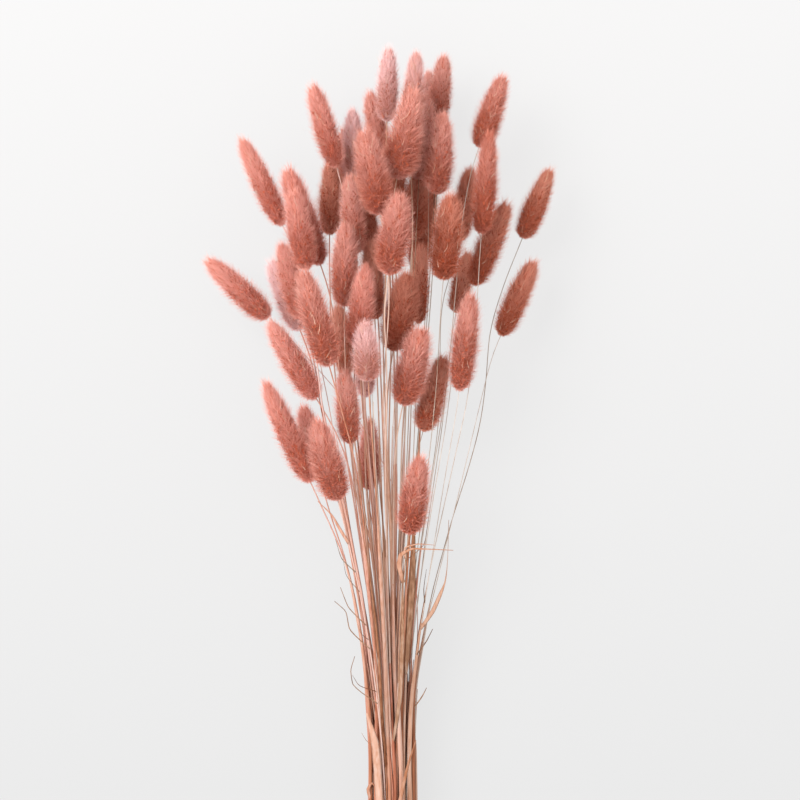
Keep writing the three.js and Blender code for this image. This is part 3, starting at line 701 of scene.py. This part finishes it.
def add_sheath(skin, stem, tone, hue, random):
    """The leaf sheaths round the lower part of a stem, with a swelling where the second starts."""
    y = np.linspace(CUT_ENDS, stem.mouth, int((stem.mouth - CUT_ENDS) / STEP) + 2)
    above = (y - CUT_ENDS) / (stem.mouth - CUT_ENDS)
    wide = random.uniform(*SHEATH_WIDTHS) * MM
    thin = random.uniform(*SHEATH_DEPTHS) * MM
    press = 1 - PRESS * np.exp(-(((y - TIE_Y) / PRESS_REACH) ** 2))
    taper = np.clip((stem.mouth - y) / MOUTH_LENGTH, 0, 1) ** MOUTH_CURVE
    halves = np.stack([wide * press, thin * press], 1) * (1 - SHEATH_TAPER * above[:, None])
    halves = CULM * MOUTH + (halves - CULM * MOUTH) * taper[:, None]
    joint = CUT_ENDS + random.uniform(*JOINTS) * (stem.mouth - CUT_ENDS)
    swell = np.exp(-(((y - joint) / SWELLING_REACH) ** 2))
    halves = halves * (1 + SWELLING * swell[:, None])
    halves = halves * np.interp(y - CUT_ENDS, SLIMMING, [1, stem.slim])[:, None]
    turns = random.uniform(0, math.pi) + random.normal(0, SHEATH_TWIST) * above
    streaks = np.sin(above * random.uniform(*STREAK_RATES) + random.uniform(*STREAK_PHASES))
    tones = tone + SHEATH_STREAKS * streaks - SWELLING_SHADE * swell
    tints = straw_tints(tones + np.interp(above, *SHEATH_SHADES), hue, len(y))
    add_tube(skin, stem.at(y), halves, turns, 10, tints, cut=True)


def add_strip(skin, stem, beside, random):
    """A loose dry leaf that runs along the bunch between two stems, twisting as it goes."""
    tallest = STRIP_TALL if stem.inner else STRIP_LOW
    top = CUT_ENDS + random.uniform(STRIP_LEAST, tallest) * MM
    top = min(top, stem.heights[-1], beside.heights[-1])
    foot = CUT_ENDS + random.uniform(*STRIP_BOTTOMS) * MM
    y = np.linspace(foot, top, int((top - CUT_ENDS) / STEP))
    share = random.uniform(*STRIP_SHARES)
    path = (1 - share) * stem.at(y) + share * beside.at(y)
    along = np.linspace(0, 1, len(y))
    wander = random.uniform(*STRIP_WANDER) * MM
    for axis in (0, 2):
        waves = along * random.uniform(*WANDER_RATES) + random.uniform(*STREAK_PHASES)
        path[:, axis] += wander * np.sin(waves)
    taper = np.clip(STRIP_END - along, 0.02, 1) ** STRIP_CURVE
    width = random.uniform(*STRIP_WIDTHS) * MM * taper
    halves = np.stack([width, np.full(len(y), STRIP_DEPTH)], 1)
    turns = random.normal(0, STRIP_TWISTS[0]) + random.normal(0, STRIP_TWISTS[1]) * along
    tones = random.uniform(*STRIP_TONES)
    tones = tones + STRIP_STREAKS * np.sin(along * random.uniform(*STRIP_RATES))
    tones = tones + np.maximum(STRIP_PALER * (along - STRIP_PALER_FROM), STRIP_DARKEST)
    tints = straw_tints(tones, random.normal(STRIP_HUE, STRIP_HUES), len(y))
    add_tube(skin, path, halves, turns, 4, tints)


def crest(stems, x, y, reach):
    """The height of the topmost stem under a place in plan, or the surface's."""
    centres = [stem.at(y)[0] for stem in stems if y < stem.heights[-1]]
    return max([c[2] + SHEATHED for c in centres if abs(c[0] - x) < reach], default=0)


def carrier(stems, x, y):
    """The topmost stem near a place in plan, which carries the leaf that grows there."""

    def rank(stem):
        centre = stem.at(y)[0]
        return centre[2] - NEARNESS * max(abs(centre[0] - x) - SHEATHED, 0)

    return max((stem for stem in stems if y < stem.heights[-1]), key=rank)


def add_blade(skin, stems, plan, tone, hue, curl=0.0):
    """A blade that leaves its stem and passes over the others. Plan has rows of x, y and width."""
    plan = np.array(plan)
    root = carrier(stems, *plan[0, :2]).at(plan[0, 1])[0]
    plan[0, 0] = root[0]
    chord = path_lengths(plan[:, :2])
    places = np.linspace(0, chord[-1], max(int(chord[-1] / BLADE_STEP), BLADE_ROWS))
    rows = np.stack([np.interp(places, chord, column) for column in plan.T], 1)
    rows = (rows + smooth_through(chord, plan, places)) / 2
    z = [root[2]]
    for x, y, width in rows[1:]:
        over = crest(stems, x, y, width / 2 + BLADE_SIDES) + BLADE_GAP
        z.append(max(over, z[-1] + BLADE_RISE))
    evening = np.ones(BLADE_SMOOTHING) / BLADE_SMOOTHING
    smooth = np.convolve(np.pad(z, BLADE_SMOOTHING // 2, mode="edge"), evening, mode="valid")
    path = np.stack([rows[:, 0], rows[:, 1], np.maximum(smooth, root[2])], 1)
    along = places / chord[-1]
    halves = np.stack([rows[:, 2] / 2, np.full(len(rows), BLADE_DEPTH)], 1)
    tints = straw_tints(tone - BLADE_SHADE * along, hue, len(rows))
    add_tube(skin, path, halves, curl * along, 6, tints)


def add_threads(skin, stems, random):
    """Thin shreds of leaf that curl out of the bunch's sides."""
    for _ in range(THREADS):
        side = random.choice([-1, 1])
        y = CUT_ENDS + random.uniform(80, 290) * MM
        outermost = max(side * stem.at(y)[0][0] for stem in stems if y < stem.mouth)
        x = side * outermost - side * random.uniform(0, 3) * MM
        reach, rise = random.uniform(2, 9) * MM, random.uniform(5, 22) * MM
        width = random.uniform(0.3, 0.6) * MM
        middle = (x + side * 0.6 * reach, y + 0.4 * rise, 0.7 * width)
        plan = [(x, y, width), middle, (x + side * reach, y + rise, 0.3 * width)]
        tone, hue = random.uniform(0.05, 0.45), random.uniform(0, 0.2)
        add_blade(skin, stems, plan, tone, hue)


def leaf_of(stems, plan):
    """A leaf's plan in metres, and the column that it grows on."""
    plan = [(TIE_X + x * MM, CUT_ENDS + y * MM, width * MM) for x, y, width in plan]
    return plan, carrier(stems, *plan[0][:2]).column


def make_stems(stems, materials):
    random = np.random.default_rng(2000)
    skins = {name: Skin() for name in columns}
    for stem in stems:
        left = (TIE_X - stem.centres[-1][0]) / SIDE_REACH
        tone = random.uniform(*SHEATH_TONES)
        hue = STRAW[slots[stem.column]] + SHEATH_PEACH * left + random.normal(0, SHEATH_HUES)
        stem.slim = 1 if MIDDLE[0] < left < MIDDLE[1] else SLIM
        stem.inner = INNER[0] < left < INNER[1]
        skin = skins[stem.column]
        add_culm(skin, stem, random.uniform(*CULM_TONES), CULM_HUE + CULM_PEACH * left)
        add_sheath(skin, stem, tone, max(hue, LEAST_HUE), random)
    spot = TIE_Y + MATCHING
    for _ in range(STRIPS):
        stem = stems[random.integers(len(stems))]
        others = [other for other in stems if other is not stem]
        others.sort(key=lambda other: np.linalg.norm(other.at(spot) - stem.at(spot)))
        add_strip(skins[stem.column], stem, others[random.integers(NEIGHBOURS)], random)
    for plan in LEAVES:
        plan, column = leaf_of(stems, plan)
        broad = plan[0][2] > BROAD
        hue = BROAD_HUE - BROAD_GREYER * (plan[0][0] - TIE_X) if broad else THIN_HUE
        tone = random.uniform(*(BROAD_TONES if broad else THIN_TONES))
        add_blade(skins[column], stems, plan, tone, hue, random.uniform(*LEAF_CURLS))
    add_threads(skins[columns[0]], stems, random)
    for plan in BROWN_LEAVES:
        plan, column = leaf_of(stems, plan)
        tone = random.uniform(*BROWN_TONES)
        add_blade(skins[column], stems, plan, tone, BROWN_HUE, random.uniform(*BROWN_CURLS))
    for name, skin in skins.items():
        slot = slots[name]
        place(skin.build(name.replace("stems", "culms"), "tint"), materials[slot], slot, name)


# -------------------- tie
TWINE = 1.9 * MM  # diameter of the twine
TURNS = 4
PLIES = 3
PLY_PITCH = 5 * MM
PLY_SWELL = 1.08  # how much thicker than touching circles the plies are
PLY_TONE, PLY_TONES = 0.3, 0.2  # tone of the first, and the step to the next
TURN_ROWS, KNOT_ROWS, END_ROWS = 140, 90, 30
KNOT_ANGLE = 1.2  # place of the knot, from the right-hand side
KNOT_SIZE = 3.1 * MM
KNOT_LIFT, KNOT_WEAVE = 1.15, 0.55  # its height, and how much it goes over and under
END_START, END_TURN = 0.1, 0.75  # where the two ends leave it, and how far they go
END_LIFT, END_FALL = 1.1, 0.1  # their height there, and how much they come down
END_OUT, END_BEND = 1, 7  # how far sideways, in millimetres


def add_twine(skin, path, toward):
    """Twisted plies round a path."""
    away = path_lengths(path)
    run = unit(np.gradient(path, axis=0))
    u = unit(toward - run * (run @ toward)[:, None])
    v = np.cross(run, u)
    ply = 0.5 * TWINE / (1 + 1 / math.sin(math.pi / PLIES)) * PLY_SWELL
    for index in range(PLIES):
        turn = (2 * math.pi * (away / PLY_PITCH + index / PLIES))[:, None]
        strand = path + (0.5 * TWINE - ply) * (np.cos(turn) * u + np.sin(turn) * v)
        halves = np.full((len(path), 2), ply)
        tone = np.full(len(path), PLY_TONE + PLY_TONES * index)
        tints = np.stack([tone, away % 1.0], 1)
        add_tube(skin, strand, halves, np.zeros(len(path)), 6, tints, toward=toward)


def make_tie(stems, material):
    """Turns of twine side by side, with a flat overhand knot on top and two short ends."""
    low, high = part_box("twine_tie")
    middle = np.array([TIE_X, TIE_Y, np.mean([stem.at(TIE_Y)[0][2] for stem in stems])])
    radius = (high[0] - low[0]) / 2 - TWINE / 2

    def round_tie(turn, out, y):
        spread = np.stack([np.cos(turn), np.zeros_like(turn), np.sin(turn)], 1)
        return middle + (radius + out)[:, None] * spread + y[:, None] * ALONG

    skin = Skin()
    turn = np.linspace(0, 2 * math.pi, TURN_ROWS)
    for index in range(TURNS):
        y = (index - (TURNS - 1) / 2) * TWINE * np.ones_like(turn)
        add_twine(skin, round_tie(turn, np.zeros_like(turn), y), ALONG)
    t = np.linspace(0, 2 * math.pi, KNOT_ROWS)
    around = KNOT_ANGLE + KNOT_SIZE / 3 * (np.sin(t) + 2 * np.sin(2 * t)) / radius
    out = KNOT_LIFT * TWINE - KNOT_WEAVE * TWINE * np.sin(3 * t)
    add_twine(skin, round_tie(around, out, KNOT_SIZE / 3 * (np.cos(t) - 2 * np.cos(2 * t))), UP)
    for side in (-1, 1):
        s = np.linspace(0, 1, END_ROWS)
        around = KNOT_ANGLE + side * (END_START + END_TURN * s)
        out = TWINE * (END_LIFT - END_FALL * s)
        add_twine(skin, round_tie(around, out, side * (END_OUT + END_BEND * s**2) * MM), UP)
    place(skin.build("twine", "tint"), material, "twine", "twine_tie")


# -------------------- materials
DYES = {
    "head_salmon": (0.825, 0.302, 0.222),
    "head_pink": (0.785, 0.298, 0.22),
    "head_deep": (0.68, 0.219, 0.137),
    "head_pale": (0.895, 0.455, 0.39),
}
HUSK_SHADE = (0.66, 0.50, 0.40)  # of a dye, as shares of its red, green and blue
# painted shade: hair darker towards its roots, deep in the fur
PAINTED_ROOT_SHADE = (0.84, 0.74, 0.68)
TIP_SHADE = (0.95, 1.17, 1.29)
DARK_SHADE = (0.66, 0.44, 0.33)  # of all these, at tone 0
LIGHT_SHADE = (1.02, 1.27, 1.38)  # and at tone 1
AWN_COLOUR = (0.78, 0.50, 0.36)

STRAW_PLACES = (0.05, 0.35, 0.65, 0.95)  # tones of the colours below
PEACH = [(0.12, 0.022, 0.006), (0.40, 0.14, 0.082), (0.53, 0.27, 0.212), (0.55, 0.37, 0.33)]
TAN = [(0.08, 0.019, 0.004), (0.28, 0.115, 0.05), (0.42, 0.24, 0.155), (0.50, 0.355, 0.275)]
GREY = [(0.06, 0.035, 0.02), (0.22, 0.155, 0.105), (0.42, 0.345, 0.29), (0.62, 0.55, 0.49)]
GREYING = 5.0  # how fast a hue near 0 turns from tan to grey
STRAW = {"stem_tan": 0.25, "stem_rose": 0.55}  # usual hue of a slot's stems
STRAW_BUMP, TWINE_BUMP = 0.5, 0.6
STRAW_STREAKS = (900, (1, 0.03, 1))  # streaks a metre, and their stretch along the bunch

TWINE_PLACES = (0.1, 0.5, 0.9)
TWINE_COLOURS = [(0.20, 0.12, 0.06), (0.48, 0.34, 0.19), (0.66, 0.50, 0.31)]
TWINE_FIBRES = (1400, (1, 1, 1))
STREAK_SHARE = 0.8  # how much streaks change the tone
BUMP_DEPTH = 0.2 * MM

FLOOR_COLOURS = [(0.0374, 0.0374, 0.0374), (0.089, 0.086, 0.085)]  # at the bottom and the top; the paler top is painted light
FLOOR_GLOW = 0.72  # the surface is a lit panel, so that shadows stay faint


def new_material(name):
    material = bpy.data.materials.new(name)
    material.use_nodes = True
    nodes = material.node_tree.nodes
    return material, nodes, material.node_tree.links, nodes["Principled BSDF"]


def tint_of(nodes, links, tint_map):
    """The two values of each point: its tone, and its hue or its place on a dye's scale."""
    uv = nodes.new("ShaderNodeUVMap")
    uv.uv_map = tint_map
    split = nodes.new("ShaderNodeSeparateXYZ")
    links.new(uv.outputs[0], split.inputs[0])
    return split.outputs["X"], split.outputs["Y"]


def ramp(nodes, links, source, stops):
    """A colour for each value of source, through stops of (place, colour)."""
    node = nodes.new("ShaderNodeValToRGB")
    elements = node.color_ramp.elements
    while len(elements) < len(stops):
        elements.new(0.5)
    for element, (where, colour) in zip(elements, stops):
        element.position = where
        element.color = (*colour, 1)
    links.new(source, node.inputs[0])
    return node.outputs[0]


def mix(nodes, links, share, a, b):
    node = nodes.new("ShaderNodeMix")
    node.data_type = "RGBA"
    links.new(share, node.inputs["Factor"])
    links.new(a, node.inputs["A"])
    links.new(b, node.inputs["B"])
    return node.outputs["Result"]


def math_node(nodes, links, operation, *values):
    node = nodes.new("ShaderNodeMath")
    node.operation = operation
    for socket, value in zip(node.inputs, values):
        if isinstance(value, (int, float)):
            socket.default_value = value
        else:
            links.new(value, socket)
    return node.outputs[0]


def shaded(colour, shade):
    return tuple(min(channel * share, 1) for channel, share in zip(colour, shade))


def hair_material(slot):
    """Dyed hair: painted shade darker at its root, paler at its tip, and a tone of its own."""
    material, nodes, links, shader = new_material("dyed_" + slot)
    tone, along = tint_of(nodes, links, "OFBake")
    dye = DYES[slot]
    stops = [
        (HUSK_PLACE, shaded(dye, HUSK_SHADE)),
        (ROOT_PLACE, shaded(dye, PAINTED_ROOT_SHADE)),
        (DYE_PLACE, dye),
        (TIP_PLACE, shaded(dye, TIP_SHADE)),
        (AWN_PLACE, AWN_COLOUR),
    ]
    dark = ramp(nodes, links, along, [(at, shaded(colour, DARK_SHADE)) for at, colour in stops])
    light = ramp(nodes, links, along, [(at, shaded(colour, LIGHT_SHADE)) for at, colour in stops])
    links.new(mix(nodes, links, tone, dark, light), shader.inputs["Base Color"])
    shader.inputs["Roughness"].default_value = 0.9
    shader.inputs["Specular IOR Level"].default_value = 0.04
    return material


def streaked(nodes, links, source, scale, stretch):
    """Noise in the object's own space, and source with it added."""
    coordinates = nodes.new("ShaderNodeTexCoord")
    mapping = nodes.new("ShaderNodeMapping")
    mapping.inputs["Scale"].default_value = stretch
    links.new(coordinates.outputs["Object"], mapping.inputs["Vector"])
    streaks = nodes.new("ShaderNodeTexNoise")
    streaks.inputs["Scale"].default_value = scale
    streaks.inputs["Detail"].default_value = 3
    links.new(mapping.outputs[0], streaks.inputs["Vector"])
    spread = math_node(nodes, links, "MULTIPLY", streaks.outputs["Fac"], STREAK_SHARE)
    lowered = math_node(nodes, links, "SUBTRACT", spread, STREAK_SHARE / 2)
    return streaks.outputs["Fac"], math_node(nodes, links, "ADD", source, lowered)


def add_bump(nodes, links, shader, height, strength):
    bump = nodes.new("ShaderNodeBump")
    bump.inputs["Strength"].default_value = strength
    bump.inputs["Distance"].default_value = BUMP_DEPTH
    links.new(height, bump.inputs["Height"])
    links.new(bump.outputs[0], shader.inputs["Normal"])


def straw_material(slot):
    """Dry straw: streaks and fine ribs along the stem, from grey over tan to peach."""
    material, nodes, links, shader = new_material("straw_" + slot)
    tone, hue = tint_of(nodes, links, "tint")
    streaks, tone = streaked(nodes, links, tone, *STRAW_STREAKS)
    tan, peach, grey = (
        ramp(nodes, links, tone, list(zip(STRAW_PLACES, colours))) for colours in (TAN, PEACH, GREY)
    )
    dyed = mix(nodes, links, hue, tan, peach)
    fading = math_node(nodes, links, "MULTIPLY", hue, GREYING)
    weathered = math_node(nodes, links, "SUBTRACT", 1.0, fading)
    links.new(mix(nodes, links, weathered, dyed, grey), shader.inputs["Base Color"])
    add_bump(nodes, links, shader, streaks, STRAW_BUMP)
    shader.inputs["Roughness"].default_value = 0.65
    shader.inputs["Specular IOR Level"].default_value = 0.15
    return material


def twine_material():
    """Jute: dull fibres, with plies of different tones."""
    material, nodes, links, shader = new_material("twine")
    tone, _ = tint_of(nodes, links, "tint")
    fibres, tone = streaked(nodes, links, tone, *TWINE_FIBRES)
    stops = list(zip(TWINE_PLACES, TWINE_COLOURS))
    links.new(ramp(nodes, links, tone, stops), shader.inputs["Base Color"])
    add_bump(nodes, links, shader, fibres, TWINE_BUMP)
    shader.inputs["Roughness"].default_value = 0.9
    return material


def floor_material():
    """A pale surface with painted light: a little lighter towards the top of the view."""
    material, nodes, links, shader = new_material("floor")
    coordinates = nodes.new("ShaderNodeTexCoord")
    split = nodes.new("ShaderNodeSeparateXYZ")
    links.new(coordinates.outputs["Object"], split.inputs[0])
    bottom = 0.5 - VIEW_CENTRE[1] / VIEW_WIDTH
    up = math_node(nodes, links, "MULTIPLY_ADD", split.outputs["Y"], 1 / VIEW_WIDTH, bottom)
    stops = [(0.0, FLOOR_COLOURS[0]), (1.0, FLOOR_COLOURS[1])]
    links.new(ramp(nodes, links, up, stops), shader.inputs["Base Color"])
    shader.inputs["Roughness"].default_value = 0.9
    shader.inputs["Emission Color"].default_value = (1, 1, 1, 1)
    shader.inputs["Emission Strength"].default_value = FLOOR_GLOW
    return material


# -------------------- stage
VIEW_CENTRE = (TIE_X + 3.6 * MM, CUT_ENDS + 322 * MM)
VIEW_WIDTH = 400 * MM
FOCUS_Z = 45 * MM  # height at which the view is VIEW_WIDTH wide
CAMERA_HEIGHT = 2.4
AMBIENT = 1.30  # strength of the light all round
KEY_AT, KEY_SIZE, KEY_POWER = (-1.1, 0.8, 1.8), 1.5, 56
KEY_TARGET = (0, 0.05, 0.04)


def make_floor():
    near, far = -3.0, 3.0
    corners = [(near, near, 0), (far, near, 0), (far, far, 0), (near, far, 0)]
    mesh = bpy.data.meshes.new("floor")
    mesh.from_pydata(corners, [], [(0, 1, 2, 3)])
    floor = bpy.data.objects.new("floor", mesh)
    mesh.materials.append(floor_material())
    bpy.context.scene.collection.objects.link(floor)


def add_area_light(name, location, target, size, power):
    light = bpy.data.lights.new(name, "AREA")
    light.shape = "DISK"
    light.size = size
    light.energy = power
    lamp = bpy.data.objects.new(name, light)
    lamp.location = location
    away = unit(np.array(location) - np.array(target))
    lamp.rotation_euler = (math.acos(away[2]), 0, math.atan2(away[1], away[0]) + math.pi / 2)
    bpy.context.scene.collection.objects.link(lamp)


def make_light():
    world = bpy.data.worlds.new("studio")
    bpy.context.scene.world = world
    world.use_nodes = True
    world.node_tree.nodes["Background"].inputs["Color"].default_value = (1, 1, 1, 1)
    world.node_tree.nodes["Background"].inputs["Strength"].default_value = AMBIENT
    add_area_light("key", KEY_AT, KEY_TARGET, KEY_SIZE, KEY_POWER)
    bpy.context.scene.view_settings.view_transform = "Standard"


def make_camera():
    camera = bpy.data.cameras.new("camera")
    camera.sensor_width = 36
    camera.lens = camera.sensor_width * (CAMERA_HEIGHT - FOCUS_Z) / VIEW_WIDTH
    camera.clip_end = 10
    holder = bpy.data.objects.new("camera", camera)
    holder.location = (*VIEW_CENTRE, CAMERA_HEIGHT)
    bpy.context.scene.collection.objects.link(holder)
    bpy.context.scene.camera = holder


# -------------------- the bunch
slots = {entry["node"]: entry["material_slot"] for entry in frame["record"]["subparts"]}
columns = sorted(name for name in frame["nodes"] if name.startswith("stems"))
heads = [Head(name) for name in sorted(frame["nodes"]) if name.startswith("head")]
for head in heads:
    head.crowd(heads)
stems = find_stems(heads, columns)
hair = {slot: hair_material(slot) for slot in DYES}
straw = {slot: straw_material(slot) for slot in STRAW}
for index, head in enumerate(heads):
    make_tail(head, index, hair)
make_stems(stems, straw)
make_tie(stems, twine_material())
make_floor()
make_light()
make_camera()
